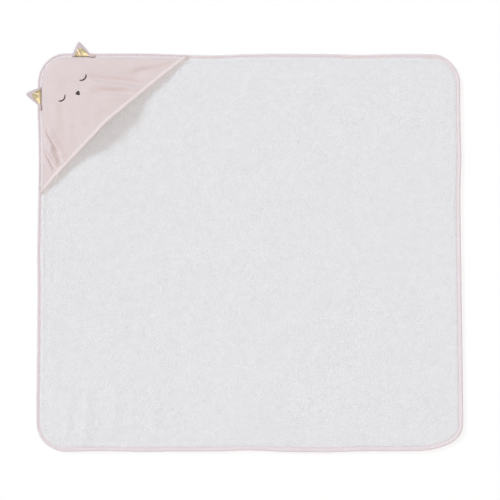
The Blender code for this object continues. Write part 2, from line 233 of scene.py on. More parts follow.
# Faint upright folds near the lower left corner: distance from the left edge, height, half width
SOFT_FOLDS = (
    (0.058, 0.0013, 0.009),
    (0.094, 0.0015, 0.010),
    (0.146, 0.0013, 0.011),
    (0.222, 0.0012, 0.012),
)


def buckle(x, y):
    """How far the cloth stands off the table."""
    broad = (0.5 + 0.5 * smooth_noise(x, y, 0.15, 21)) ** 2
    narrow = (0.5 + 0.5 * smooth_noise(x, y, 0.06, 22)) ** 2
    height = 0.0018 * broad + 0.0006 * narrow
    low = smooth_step((BOTTOM + 0.15 - y) / 0.06) * smooth_step((y - BOTTOM) / 0.03)
    for from_left, rise, half_width in SOFT_FOLDS:
        across = x - LEFT - from_left - 0.08 * (y - BOTTOM - 0.05)
        height = height + rise * low * np.exp(-((across / half_width) ** 2))
    return height * smooth_step(edge_distance(x, y) / 0.035)


def lay(points):
    """Flat pattern points, moved to where the cloth lies."""
    points = np.array(points, float).reshape(-1, 3)
    x, y = points[:, 0].copy(), points[:, 1].copy()
    points[:, 0] += 0.0012 * smooth_noise(x, y, 0.070, 11) + 0.0008 * smooth_noise(x, y, 0.19, 12)
    points[:, 1] += 0.0012 * smooth_noise(x, y, 0.070, 13) + 0.0008 * smooth_noise(x, y, 0.19, 14)
    points[:, 2] += buckle(x, y)
    for across, up, dx, dy, reach in PULLS:
        pull = np.exp(-((x - across * RIGHT) ** 2 + (y - up * TOP) ** 2) / reach**2)
        points[:, 0] += dx * pull
        points[:, 1] += dy * pull
    return points


# The towel's outline ---------------------------------------------------------------------------


def tape_width(x, y):
    """The tape isn't folded quite evenly: it is widest on the right and at the bottom."""
    return TAPE_WIDTH + 0.0010 * np.asarray(x) / RIGHT - 0.0006 * np.asarray(y) / TOP


CORNER_SIGNS = ((1, -1), (1, 1), (-1, 1), (-1, -1))


def edge_distance(x, y):
    """How far points are inside the towel's outer edge."""
    x, y = np.asarray(x, float), np.asarray(y, float)
    distance = np.minimum.reduce([x - LEFT, RIGHT - x, y - BOTTOM, TOP - y])
    for (side, end), (rx, ry) in zip(CORNER_SIGNS, CORNER_RADII):
        over_x = rx - (RIGHT - x if side > 0 else x - LEFT)
        over_y = ry - (TOP - y if end > 0 else y - BOTTOM)
        u, v = np.maximum(over_x, 1e-9) / rx, np.maximum(over_y, 1e-9) / ry
        reach = np.hypot(u, v)
        radius = reach / np.hypot(u / rx, v / ry)
        in_corner = (over_x > 0) & (over_y > 0)
        distance = np.where(in_corner, np.minimum(distance, (1 - reach) * radius), distance)
    return distance


def outline(step):
    """Points round the towel's edge about a step apart, counterclockwise, and their inward directions."""
    places, inwards = [], []
    ends = []
    for number, ((side, end), (rx, ry)) in enumerate(zip(CORNER_SIGNS, CORNER_RADII)):
        centre_x = RIGHT - rx if side > 0 else LEFT + rx
        centre_y = TOP - ry if end > 0 else BOTTOM + ry
        centre = np.array([centre_x, centre_y])
        count = max(8, round((rx + ry) / 2 * math.pi / 2 / step))
        angles = math.radians(-90 + 90 * number) + np.linspace(0, math.pi / 2, count + 1)
        arc = centre + np.stack([rx * np.cos(angles), ry * np.sin(angles)], 1)
        normal = -unit(np.stack([np.cos(angles) / rx, np.sin(angles) / ry], 1))
        ends.append((arc, normal))
    for number, (arc, normal) in enumerate(ends):
        following = ends[(number + 1) % 4][0][0]
        count = max(2, round(float(np.linalg.norm(following - arc[-1])) / step))
        shares = np.linspace(0, 1, count + 1)[1:-1, None]
        places += [arc, arc[-1] + (following - arc[-1]) * shares]
        inwards += [normal, np.repeat(normal[-1:], len(shares), 0)]
    return np.concatenate(places), np.concatenate(inwards)


# The fold line of the hooded corner ------------------------------------------------------------

LEFT_END = np.array([LEFT, TOP - LEFT_LEG])
TOP_END = np.array([LEFT + TOP_LEG, TOP])
ALONG_MOUTH = unit(TOP_END - LEFT_END)
TO_CORNER = np.array([-ALONG_MOUTH[1], ALONG_MOUTH[0]])
FOLD = next(j for j in frame["joints"] if j["name"] == "hooded_corner_fold")
FOLD_PLACE = np.array(FOLD["pos_m"])


def past_fold(x, y):
    """How far points are on the corner's side of the fold line."""
    return (np.asarray(x) - FOLD_PLACE[0]) * TO_CORNER[0] + (np.asarray(y) - FOLD_PLACE[1]) * TO_CORNER[1]


def bends_at_fold(piece):
    """Bakes the piece's transform into its mesh; nothing here bends it at the fold line."""
    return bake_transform(piece)


# Materials -------------------------------------------------------------------------------------


class Look:
    """A Principled material, with a short way to add and join its nodes."""

    def __init__(self, name, colour, roughness, **constants):
        self.material = bpy.data.materials.new(name)
        self.material.use_nodes = True
        self.tree = self.material.node_tree
        self.shader = self.tree.nodes["Principled BSDF"]
        self.colour = colour
        self.set("Base Color", (*colour, 1.0))
        self.set("Roughness", roughness)
        for socket, value in constants.items():
            self.set(socket.replace("_", " "), value)
        self.place = self.node("ShaderNodeTexCoord").outputs["Object"]

    def set(self, socket, value):
        self.shader.inputs[socket].default_value = value

    def feed(self, socket, value):
        """Sets an input to a value, or joins another node's output to it."""
        if isinstance(value, bpy.types.NodeSocket):
            self.tree.links.new(value, socket)
        else:
            socket.default_value = value

    def node(self, kind, **inputs):
        made = self.tree.nodes.new(kind)
        for name, value in inputs.items():
            self.feed(made.inputs[name.replace("_", " ")], value)
        return made

    def noise(self, scale, detail, roughness=0.5):
        settings = dict(Scale=scale, Detail=detail, Roughness=roughness)
        return self.node("ShaderNodeTexNoise", Vector=self.place, **settings).outputs["Fac"]

    def cells(self, scale, vector, randomness):
        made = self.node("ShaderNodeTexVoronoi", Scale=scale, Randomness=randomness, Vector=vector)
        return made.outputs["Distance"]

    def stripes(self, scale, vector, direction, distortion):
        made = self.node("ShaderNodeTexWave", Scale=scale, Distortion=distortion, Vector=vector)
        made.bands_direction = direction
        return made.outputs["Fac"]

    def sum(self, *parts):
        """The weighted sum of (socket, weight) pairs."""
        total = 0.0
        for socket, weight in parts:
            made = self.node("ShaderNodeMath")
            made.operation = "MULTIPLY_ADD"
            for place, value in zip(made.inputs, (socket, weight, total)):
                self.feed(place, value)
            total = made.outputs[0]
        return total

    def ramp(self, factor, low, high):
        """Maps factor from low..high to 0..1."""
        return self.node("ShaderNodeMapRange", Value=factor, From_Min=low, From_Max=high).outputs[0]

    def tint(self, factor, dark, light):
        """The base colour goes from dark to light, each a scale of the material's own colour."""
        mix = self.tree.nodes.new("ShaderNodeMix")
        mix.data_type = "RGBA"
        colours = [socket for socket in mix.inputs if socket.type == "RGBA"]
        for socket, scale in zip(colours, (dark, light)):
            scales = scale if isinstance(scale, tuple) else (scale, scale, scale)
            socket.default_value = (*(c * s for c, s in zip(self.colour, scales)), 1.0)
        self.tree.links.new(factor, mix.inputs["Factor"])
        result = next(socket for socket in mix.outputs if socket.type == "RGBA")
        self.tree.links.new(result, self.shader.inputs["Base Color"])

    def bump(self, height, distance, strength):
        made = self.node("ShaderNodeBump", Height=height, Distance=distance, Strength=strength)
        self.tree.links.new(made.outputs["Normal"], self.shader.inputs["Normal"])


def terry_look():
    """Cotton loops about 2 mm across: pale tops, and shade between them."""
    look = Look("terry", TERRY_WHITE, 0.96, Sheen_Weight=0.12, Sheen_Roughness=0.5)
    wander = look.node("ShaderNodeTexNoise", Scale=160.0, Detail=1.0, Vector=look.place)
    shifted = look.node("ShaderNodeVectorMath")
    shifted.operation = "MULTIPLY_ADD"
    look.tree.links.new(wander.outputs["Color"], shifted.inputs[0])
    shifted.inputs[1].default_value = (0.0022, 0.0022, 0.0022)
    look.tree.links.new(look.place, shifted.inputs[2])
    loops = look.cells(520.0, shifted.outputs[0], 0.85)
    strands = look.noise(1500.0, 2.0)
    clumps = look.noise(95.0, 3.0)
    look.bump(look.sum((loops, -1.0), (strands, 0.35), (clumps, 0.5)), 0.0013, 0.85)
    shade = look.sum((loops, -0.55), (clumps, 0.5), (strands, 0.25))
    look.tint(look.ramp(shade, -0.15, 0.45), 0.935, 1.045)
    return look.material


def velour_look(name, colour):
    """Short dense pile: soft, with faint brushed patches."""
    look = Look(name, colour, 0.9, Sheen_Weight=0.35, Sheen_Roughness=0.35)
    brushed = look.noise(55.0, 4.0, 0.6)
    pile = look.noise(2600.0, 2.0)
    nap = look.noise(320.0, 3.0)
    look.bump(look.sum((pile, 0.5), (nap, 0.6)), 0.0005, 0.5)
    look.tint(look.ramp(look.sum((brushed, 0.7), (nap, 0.3)), 0.3, 0.7), 0.972, 1.024)
    return look.material


def tape_look(name, colour):
    """Plain-woven bias tape: its threads run at 45 degrees to the edge."""
    look = Look(name, colour, 0.82, Sheen_Weight=0.15, Sheen_Roughness=0.4)
    turned = look.node("ShaderNodeMapping", Vector=look.place)
    turned.inputs["Rotation"].default_value = (0.0, 0.0, math.radians(45))
    weave = [look.stripes(520.0, turned.outputs[0], direction, 0.6) for direction in ("X", "Y")]
    worn = look.noise(140.0, 3.0)
    look.bump(look.sum((weave[0], 0.5), (weave[1], 0.5), (worn, 0.8)), 0.0003, 0.6)
    shade = look.sum((weave[0], 0.2), (weave[1], 0.2), (worn, 0.6))
    look.tint(look.ramp(shade, 0.25, 0.75), 0.95, 1.03)
    return look.material


def gold_look():
    """Metallised cloth, crinkled so that its highlights break up, with a painted highlight: its colour is
    lighter and bluer on the crinkles' crests and darker and browner in their hollows.
    """
    look = Look("gold_lame", GOLD, 0.42, Metallic=0.75, Sheen_Weight=0.1)
    crinkle = look.noise(210.0, 3.0, 0.6)
    weave = look.noise(2800.0, 1.0)
    look.bump(look.sum((crinkle, 1.0), (weave, 0.15)), 0.0006, 0.6)
    # Painted highlight and shade: lighter, bluer colour on the crinkle crests, darker, browner colour in the
    # hollows.
    look.tint(look.ramp(crinkle, 0.35, 0.65), (0.84, 0.80, 0.72), (1.16, 1.18, 1.26))
    return look.material


def thread_look(name, colour, roughness, sheen):
    """Twisted thread: fine slanting ridges along every strand."""
    look = Look(name, colour, roughness, Sheen_Weight=sheen)
    twist = look.stripes(1400.0, look.place, "DIAGONAL", 2.0)
    fibres = look.noise(3000.0, 2.0)
    look.bump(look.sum((twist, 0.6), (fibres, 0.4)), 0.0001, 0.6)
    look.tint(look.ramp(look.sum((twist, 0.5), (fibres, 0.5)), 0.2, 0.8), 0.82, 1.10)
    return look.material


# The terry square ------------------------------------------------------------------------------


def pressed(x, y):
    """1 where the pile is pressed flat under the hood, and 0 from just inside its mouth outwards."""
    return smooth_step((past_fold(x, y) - 0.034) / 0.020)


def pile_height(x, y):
    """The top of the loops: pressed down in the tape, with a soft roll just inside it."""
    beside = edge_distance(x, y) - tape_width(x, y)
    shoulder = smooth_step((beside + 0.0030) / 0.0042)
    fullness = np.maximum(0.0006 - 0.0005 * x / RIGHT + 0.0004 * y / TOP, 0)
    roll = fullness * np.exp(-(((beside - 0.0036) / 0.0028) ** 2))
    full = PILE_HEIGHT - PRESSED_PILE * pressed(x, y)
    return HEM_HEIGHT + (full - HEM_HEIGHT) * shoulder + roll * (1 - pressed(x, y))


def cell_grid(step):
    """A square grid that fills the terry's outline: its points in plan, and its quads."""
    xs = np.arange(LEFT + HEM_INSET, RIGHT - HEM_INSET + step / 2, step)
    ys = np.arange(BOTTOM + HEM_INSET, TOP - HEM_INSET + step / 2, step)
    gx, gy = np.meshgrid(xs, ys, indexing="ij")
    inside = edge_distance(gx, gy) > HEM_INSET - step / 4
    keep = inside[:-1, :-1] & inside[1:, :-1] & inside[1:, 1:] & inside[:-1, 1:]
    quads = np.array(grid_faces(len(xs), len(ys)))[keep.ravel()]
    used, quads = np.unique(quads, return_inverse=True)
    return gx.ravel()[used], gy.ravel()[used], quads.reshape(-1, 4)


def add_terry(material):
    """One closed cloth: a finely looped top, a coarser underside, and a hem hidden in the tape."""
    x, y, top = cell_grid(PILE_STEP)
    inner = smooth_step((edge_distance(x, y) - HEM_INSET - 0.002) / 0.006)
    chance = np.random.default_rng(5)
    fine = chance.uniform(-1, 1, len(x))
    loops = 0.00030 * fine + 0.00022 * smooth_noise(x, y, 0.0055, 31)
    loops += 0.00020 * smooth_noise(x, y, 0.013, 32) + 0.00022 * smooth_noise(x, y, 0.045, 33)
    z = pile_height(x, y) + loops * inner
    x = x + chance.uniform(-1, 1, len(x)) * 0.0006 * inner
    y = y + chance.uniform(-1, 1, len(y)) * 0.0006 * inner
    ux, uy, under = cell_grid(UNDERSIDE_STEP)
    covered = smooth_step((edge_distance(ux, uy) - 0.009) / 0.004)
    uz = 0.0009 * (1 - covered) + 0.0002 * (1 + smooth_noise(ux, uy, 0.02, 34)) * covered
    points = np.concatenate([np.stack([x, y, z], 1), np.stack([ux, uy, uz], 1)])
    faces = top.tolist() + (under[:, ::-1] + len(x)).tolist()
    made = add_mesh("terry_cloth", lay(points), faces, material, tidy=False)
    close_rims(made)
    return made


def close_rims(made):
    """Joins the object's two open rims with a wall."""
    work = bmesh.new()
    work.from_mesh(made.data)
    rim = [edge for edge in work.edges if edge.is_boundary]
    bmesh.ops.bridge_loops(work, edges=rim)
    bmesh.ops.recalc_face_normals(work, faces=work.faces)
    for face in work.faces:
        face.smooth = True
    work.to_mesh(made.data)
    work.free()


# The tape round the edge -----------------------------------------------------------------------


def seam_pillow(inset):
    """How the hood's layers swell just inside the seam that holds them."""
    beyond = np.maximum(inset - HOOD_STITCH_INSET, 0)
    return PILLOW_HEIGHT * (0.45 * (1 - np.exp(-beyond / 0.0012)) + 0.55 * (1 - np.exp(-beyond / 0.010)))


def hood_bulk(places):
    """0 along the plain edge and 1 where the hood's layers are in the seam."""
    return smooth_step((past_fold(places[:, 0], places[:, 1]) - 0.012) / 0.014)


def noise_along(travelled, cell, seed):
    return smooth_noise(travelled, 0 * travelled, cell, seed)


def stitch_line(width, bulk):
    """The stitch line's inset and height, in the tape's valley."""
    inset = (width - STITCH_FROM_TAPE_EDGE) * (1 - bulk) + HOOD_STITCH_INSET * bulk
    return inset, VALLEY_HEIGHT + HOOD_VALLEY_EXTRA * bulk


def tape_profile(width, bulk):
    """The folded tape's outer face in (inset, height) pairs, from its upper to its lower inner edge.

    bulk is what hood_bulk() gives there.
    """
    stitch, valley = stitch_line(width, bulk)
    width = width + HOOD_TAPE_EXTRA * bulk
    crest = CREST_HEIGHT + HOOD_CREST_EXTRA * bulk
    crest_at = CREST_INSET - HOOD_CREST_SHIFT * bulk
    free = width - stitch
    lip = [
        (inset, valley + LIP_RISE + bulk * (seam_pillow(inset) + lift))
        for inset, lift in ((width, -0.0006), (stitch + 0.62 * free, 0.0002), (stitch + 0.28 * free, 0.0002))
    ]
    return np.array([
        *lip,
        (stitch, valley),
        (stitch + 0.30 * (crest_at - stitch), valley + 0.30 * (crest - valley)),
        (stitch + 0.62 * (crest_at - stitch), valley + 0.74 * (crest - valley)),
        (crest_at + 0.0002, crest),
        (crest_at - 0.0006, crest - 0.0002),
        (0.0006, crest - 0.0011),
        (0.00020, crest - 0.0020),
        (0.0, 0.5 * crest - 0.0003),
        (0.0004, 0.0007),
        (0.0016, 0.0001),
        (0.0050, 0.0),
        (0.0070, 0.0001),
        (width, 0.0),
    ])


def add_edge_tape(material):
    """The tape, puckered by its stitches and gathered a little round the corners."""
    places, inwards = outline(0.0021)
    travelled = np.cumsum(np.linalg.norm(places - np.roll(places, 1, 0), axis=1))
    bulk = hood_bulk(places)
    curved = np.linalg.norm(inwards - np.roll(inwards, 3, 0), axis=1) / 0.12
    gather = 1.0 + 1.2 * np.clip(curved, 0, 1)
    pucker = noise_along(travelled, 0.0062, 41) * 0.6
    pucker += noise_along(travelled, 0.014, 42) * 0.6
    pinch = 0.5 + 0.5 * np.cos(2 * math.pi * travelled / STITCH_PITCH)
    widths = tape_width(places[:, 0], places[:, 1])
    outer = np.stack([tape_profile(width, b) for width, b in zip(widths, bulk)])
    count = outer.shape[1]
    softness = np.zeros(count)
    softness[3:10] = (0.45, 0.8, 0.8, 0.6, 0.4, 0.25, 0.1)
    outer[:, :3, 1] += 0.00024 * (pucker * (1 - 0.5 * bulk))[:, None]
    outer[:, 3:, 1] += 0.00026 * softness[3:] * (pucker * gather)[:, None]
    outer[:, 3, 1] -= 0.00012 * pinch
    outer[:, :2, 0] += 0.00030 * noise_along(travelled, 0.008, 43)[:, None]
    outer[:, 6:11, 0] += 0.00016 * (noise_along(travelled, 0.011, 44) + 1)[:, None]
    inner = outer.copy()
    across = np.gradient(outer, axis=1)
    inside = unit(np.stack([-across[:, :, 1], across[:, :, 0]], -1))
    inner -= inside * TAPE_WALL * np.sign(inside[:, 8:9, :1] * -1)
    ring = np.concatenate([outer, inner[:, ::-1]], 1)
    plan = places[:, None, :] + inwards[:, None, :] * ring[:, :, :1]
    points = np.concatenate([plan, ring[:, :, 1:]], -1).reshape(-1, 3)
    faces = grid_faces(len(places) + 1, 2 * count, closed_columns=True)
    total = len(points)
    faces = [[corner % total for corner in face] for face in faces]
    return add_mesh("edge_tape", lay(points), faces, material)


# Stitches and strands --------------------------------------------------------------------------

STRAND_SIDES = 6

# Rings along a strand: the place from -1 to 1, the fatness, and the dip into the cloth
STRAND_RINGS = (
    (-1.0, 0.15, -0.7),
    (-0.82, 0.75, -0.25),
    (-0.4, 1.0, 0.0),
    (0.4, 1.0, 0.0),
    (0.82, 0.75, -0.25),
    (1.0, 0.15, -0.7),
)


def strand_points(centres, alongs, ups, lengths, radius):
    """A short rounded strand at each centre. Its ends dip into the cloth."""
    sides = unit(np.cross(ups, alongs))
    ups = unit(np.cross(alongs, sides))
    angles = 2 * math.pi * np.arange(STRAND_SIDES) / STRAND_SIDES
    rings = []
    for share, fatness, dip in STRAND_RINGS:
        middle = centres + alongs * (lengths / 2 * share)[:, None] + ups * radius * dip
        for angle in angles:
            across = sides * radius * fatness * math.cos(angle)
            rings.append(middle + across + ups * radius * fatness * math.sin(angle))
    return np.stack(rings, 1).reshape(-1, 3)


def strand_faces(count):
    """The faces of that many strands, each closed at both ends."""
    per = STRAND_SIDES * len(STRAND_RINGS)
    one = tube_faces(len(STRAND_RINGS), STRAND_SIDES)
    return [[corner + number * per for corner in face] for number in range(count) for face in one]


def add_strands(name, centres, alongs, ups, lengths, radius, material):
    points = strand_points(centres, alongs, ups, lengths, radius)
    return add_mesh(name, points, strand_faces(len(centres)), material)


def add_stitches(name, centres, alongs, length, radius, material):
    """Stitches of one length, all with the same side up."""
    ups = np.tile([0.0, 0.0, 1.0], (len(centres), 1))
    return add_strands(name, centres, alongs, ups, np.full(len(centres), length), radius, material)


def spaced(line, pitch, closed=False):
    """Points a pitch apart along a line, and the line's direction there."""
    if closed:
        line = np.concatenate([line, line[:1]])
    travelled = distance_along(line)
    count = int(travelled[-1] / pitch)
    at = (np.arange(count) + 0.5) * travelled[-1] / count
    near = travelled[-1] * 0.0005

    def read(shift):
        return np.stack([np.interp(at + shift, travelled, line[:, k]) for k in range(3)], 1)

    return read(0), unit(read(near) - read(-near))


def add_edge_stitches(material):
    """A row of lockstitches in the tape's valley."""
    places, inwards = outline(0.004)
    bulk = hood_bulk(places)
    inset, height = stitch_line(tape_width(places[:, 0], places[:, 1]), bulk)
    line = np.concatenate([places + inwards * inset[:, None], height[:, None] + THREAD_RADIUS * 0.35], 1)
    centres, alongs = spaced(line, STITCH_PITCH, closed=True)
    return add_stitches("edge_stitches", lay(centres), alongs, STITCH_LENGTH, THREAD_RADIUS, material)


# The hood --------------------------------------------------------------------------------------

# Creases, each from one point to another, measured right and down from the hood's square corner:
# start right, start down, end right, end down, half width, depth (a negative one is a ridge)
CREASES = (
    (0.0150, 0.1450, 0.0330, 0.2050, 0.0180, -0.0032),
    (0.0150, 0.1440, 0.0410, 0.1880, 0.0030, 0.0070),
    (0.0310, 0.1780, 0.0440, 0.2060, 0.0046, 0.0036),
    (0.0100, 0.1520, 0.0280, 0.1900, 0.0036, -0.0022),
    (0.0230, 0.1440, 0.0470, 0.1940, 0.0036, -0.0018),
    (0.0140, 0.1600, 0.0220, 0.1760, 0.0022, 0.0026),
    (0.0120, 0.1840, 0.0310, 0.2180, 0.0032, 0.0078),
    (0.0210, 0.1840, 0.0370, 0.2120, 0.0036, -0.0030),
    (0.0080, 0.1860, 0.0270, 0.2200, 0.0030, -0.0040),
    (0.0120, 0.2120, 0.0210, 0.2300, 0.0024, 0.0050),
    (0.1000, 0.0470, 0.2000, 0.0600, 0.0054, 0.0042),
    (0.1050, 0.0590, 0.1950, 0.0690, 0.0060, -0.0016),
    (0.1060, 0.0730, 0.1720, 0.0760, 0.0054, 0.0036),
    (0.1100, 0.0850, 0.1700, 0.0890, 0.0060, -0.0010),
    (0.1800, 0.0400, 0.2500, 0.0270, 0.0064, 0.0036),
    (0.1850, 0.0270, 0.2500, 0.0170, 0.0050, -0.0008),
    (0.0350, 0.0850, 0.0360, 0.1350, 0.0070, -0.0009),
    (0.0480, 0.0950, 0.0520, 0.1500, 0.0080, 0.0012),
    (0.0640, 0.1400, 0.0800, 0.1700, 0.0060, 0.0018),
    (0.1200, 0.1150, 0.1450, 0.1180, 0.0060, 0.0012),
)


def hood_seam(count):
    """Points in plan along the hood's sewn edge, up its left leg and along its top leg."""
    places, inwards = outline(0.002)
    line = places + inwards * HOOD_EDGE_INSET
    held = past_fold(places[:, 0], places[:, 1]) > past_fold(*LEFT_END)
    start = int(np.argmax(held & ~np.roll(held, 1)))
    order = (start + np.arange(held.sum())) % len(line)
    line = line[order][::-1]
    travelled = distance_along(line)
    at = np.linspace(0, travelled[-1], count)
    return np.stack([np.interp(at, travelled, line[:, k]) for k in range(2)], 1)


def hood_mouth(seam):
    """Points in plan along the mouth, from the seam's first point to its last, bowed to the corner."""
    share = np.linspace(0, 1, len(seam))[:, None]
    bow = MOUTH_BOW * np.sin(math.pi * share) + MOUTH_NOTCH * np.exp(-(((share - 0.5) / 0.07) ** 2))
    return seam[0] + (seam[-1] - seam[0]) * share + TO_CORNER * bow


def mouth_rise(across):
    """How high the mouth stands above its ends: across is -1 and 1 there, and 0 in the middle."""
    shoulders = (0.0070 - 0.0010 * across) * (1 - across**2)
    hump = 0.0100 * np.exp(-(((across + 0.03) / 0.33) ** 4))
    return shoulders + hump


def crease_height(x, y):
    """The sum of the hood's creases at points in plan."""
    right, down = x - LEFT, TOP - y
    height = np.zeros_like(right)
    for x0, y0, x1, y1, half_width, depth in CREASES:
        length = math.hypot(x1 - x0, y1 - y0)
        along = ((right - x0) * (x1 - x0) + (down - y0) * (y1 - y0)) / length**2
        off = ((right - x0) * (y1 - y0) - (down - y0) * (x1 - x0)) / length
        wobble = 0.0012 * smooth_noise(right, down, 0.02, 52)
        fade = smooth_step(along / 0.35 + 0.5) * smooth_step((1 - along) / 0.35 + 0.5)
        height -= depth * fade * np.exp(-(((off + wobble) / half_width) ** 2))
    return height


def hood_surface():
    """The hood's plan points and the height of its middle, as columns from the seam to the mouth."""
    seam = hood_seam(HOOD_COLUMNS)
    mouth = hood_mouth(seam)
    rows = np.linspace(0, 1, HOOD_ROWS) ** 1.15
    plan = seam[:, None, :] + (mouth - seam)[:, None, :] * rows[None, :, None]
    x, y = plan[..., 0], plan[..., 1]
    across = np.linspace(-1, 1, HOOD_COLUMNS)[:, None]
    inset = edge_distance(x, y)
    run_in = np.maximum(inset - TAPE_WIDTH, 0)
    sewn = 1 - np.exp(-run_in / 0.007)
    pillow = seam_pillow(inset) * (0.35 + 0.65 * np.exp(-run_in / 0.035)) * (1 - 0.6 * rows[None, :] ** 3)
    rise = mouth_rise(across) * rows[None, :] ** 0.9 * sewn
    ripple = 0.0006 * smooth_noise(x, y, 0.026, 53) + 0.0002 * smooth_noise(x, y, 0.010, 54)
    height = HOOD_SEAM_HEIGHT + rise + pillow + (crease_height(x, y) + ripple) * sewn
    lowest = HOOD_SEAM_HEIGHT + (0.0032 - 0.0016 * pressed(x, y)) * sewn
    clear = 0.0005 * np.logaddexp(0, (height - lowest) / 0.0005)
    return x, y, np.where(sewn > 0, lowest + clear, height)


def add_hood_layer(name, surface, low, high, material):
    """A closed sheet that lies between two heights above the hood's middle surface."""
    x, y, height = surface
    thin = smooth_step((edge_distance(x, y) - 0.008) / 0.010)
    thin = thin * smooth_step((1 - np.linspace(0, 1, HOOD_ROWS)[None, :]) / 0.06 + 0.25)
    mid = (low + high) / 2
    half = (high - low) / 2 * (0.45 + 0.55 * thin)
    under = np.stack([x, y, height + mid - half], -1).reshape(-1, 3)
    top = np.stack([x, y, height + mid + half], -1).reshape(-1, 3)
    faces = grid_faces(HOOD_COLUMNS, HOOD_ROWS) + grid_faces(HOOD_COLUMNS, HOOD_ROWS, start=len(top))
    for edge in (np.arange(HOOD_COLUMNS) * HOOD_ROWS, np.arange(HOOD_COLUMNS) * HOOD_ROWS + HOOD_ROWS - 1):
        faces += [[a, b, b + len(top), a + len(top)] for a, b in zip(edge.tolist(), edge[1:].tolist())]
    return add_mesh(name, lay(np.concatenate([under, top])), faces, material)


def mouth_line(surface):
    """The hood's free edge after laying, and the directions into the cloth and upwards along it."""
    edge, behind = (lay(np.stack([part[2:-2, row] for part in surface], 1)) for row in (-1, -7))
    along = unit(np.gradient(edge, axis=0))
    into = np.concatenate([np.tile(TO_CORNER, (len(edge), 1)), np.zeros((len(edge), 1))], 1)
    slope = (behind - edge)[:, 2] / np.maximum(np.linalg.norm((behind - edge)[:, :2], axis=1), 1e-4)
    into[:, 2] = np.clip(slope, -0.6, 0.6)
    into = unit(into - along * (into * along).sum(1, keepdims=True))
    up = np.cross(along, into)
    up = up * np.sign(up[:, 2:])
    return edge, into, up


def add_mouth_tape(surface, material):
    """A rounded tape rolled over the hood's free edge and sewn down on both sides."""
    edge, into, up = mouth_line(surface)
    travelled = distance_along(edge)
    outer = np.array([
        (MOUTH_TAPE_WIDTH, 0.0012), (MOUTH_TAPE_WIDTH - 0.0006, 0.0015), (MOUTH_STITCH_INSET, 0.0013),
        (0.0040, 0.0019), (0.0028, 0.0025), (0.0015, 0.0027), (0.0002, 0.0022), (-0.0009, 0.0013),
        (-0.0013, 0.0003), (-0.0010, -0.0008), (-0.0002, -0.0016), (0.0010, -0.0020), (0.0022, -0.0021),
        (0.0034, -0.0020), (MOUTH_STITCH_INSET, -0.0019), (MOUTH_TAPE_WIDTH, -0.0019),
    ])
    inner = np.array([
        (MOUTH_TAPE_WIDTH, -0.0013), (-0.0004, -0.0013), (-0.0004, 0.0010), (MOUTH_TAPE_WIDTH, 0.0010),
    ])
    section = np.concatenate([outer, inner])
    softness = np.concatenate([np.linspace(1.0, 0.3, len(outer)), np.zeros(len(inner))])
    pucker = noise_along(travelled, 0.006, 61) + 0.6 * noise_along(travelled, 0.015, 62)
    heights = section[None, :, 1] * (1 + 0.22 * softness * pucker[:, None])
    points = edge[:, None] + into[:, None] * section[None, :, :1] + up[:, None] * heights[:, :, None]
    return add_mesh("hood_mouth_tape", points.reshape(-1, 3), tube_faces(len(edge), len(section)), material)


def add_mouth_stitches(surface, material):
    edge, into, up = mouth_line(surface)
    line = edge + into * MOUTH_STITCH_INSET + up * (0.0013 + THREAD_RADIUS * 0.4)
    centres, alongs = spaced(line[4:-4], STITCH_PITCH)
    return add_stitches("hood_mouth_stitches", centres, alongs, STITCH_LENGTH, THREAD_RADIUS, material)


# The face --------------------------------------------------------------------------------------


class Surface:
    """Finds the top of an object straight below a point in plan."""

    def __init__(self, made):
        polygons = [tuple(p.vertices) for p in made.data.polygons]
        self.tree = BVHTree.FromPolygons([v.co for v in made.data.vertices], polygons)

    def at(self, x, y):
        place, normal, _, _ = self.tree.ray_cast(Vector((x, y, 0.2)), Vector((0, 0, -1)))
        return np.array(place), np.array(normal if normal.z > 0 else -normal)


DOWN = np.array([1.0, -1.0]) / math.sqrt(2)
ACROSS = np.array([1.0, 1.0]) / math.sqrt(2)
HOOD_CORNER = np.array([LEFT, TOP])


def add_satin(name, surface, strands, radius, material):
    """Satin stitch: strands given as (start, end) in plan, laid on the surface side by side."""
    centres, alongs, ups, lengths = [], [], [], []
    for start, end in strands:
        first, first_up = surface.at(*start)
        last, last_up = surface.at(*end)
        up = unit(first_up + last_up)
        centres.append((first + last) / 2 + up * radius * 0.7)
        alongs.append(unit(last - first))
        ups.append(up)
        lengths.append(np.linalg.norm(last - first) + radius)
    lists = [np.array(values) for values in (centres, alongs, ups, lengths)]
    return add_strands(name, *lists, radius, material)


def add_eye(name, surface, side, material):
    """A closed eye: a satin arc that sags away from the corner, thinner at both ends."""
    strands = []
    count = 46
    for number in range(count):
        share = 2 * number / (count - 1) - 1
        angle = EYE_HALF_ANGLE * share
        width = EYE_LINE * (0.42 + 0.58 * math.cos(share * math.pi / 2) ** 0.7)
        slant = angle + math.radians(24)
        radial = DOWN * math.cos(angle) + ACROSS * math.sin(angle)
        place = HOOD_CORNER + DOWN * (EYE_DOWN - EYE_RADIUS * 0.72) + ACROSS * side * EYE_ACROSS
        middle = place + radial * EYE_RADIUS
        across = (DOWN * math.cos(slant) + ACROSS * math.sin(slant)) * width / 2
        strands.append((middle - across, middle + across))
    return add_satin(name, surface, strands, EMBROIDERY_RADIUS, material)


def add_nose(surface, material):
    """A small rounded triangle of satin stitch, with its point away from the corner."""
    strands = []
    count = 22
    for number in range(count):
        share = number / (count - 1)
        down = NOSE_SIZE * (1.75 * share - 0.80)
        top_rounding = min(1.0, 0.62 + 3.2 * share)
        half = NOSE_SIZE * 1.02 * top_rounding * max(1 - share**1.7, 0.0) ** 0.72
        half = max(half, 0.0006)
        notch = NOSE_SIZE * 0.14 * max(0.0, 1 - 6 * share)
        middle = HOOD_CORNER + DOWN * (NOSE_DOWN + down + notch * 0.3)
        strands.append((middle - ACROSS * half, middle + ACROSS * half))
    return add_satin("nose_satin", surface, strands, NOSE_THREAD_RADIUS, material)


# The ears --------------------------------------------------------------------------------------


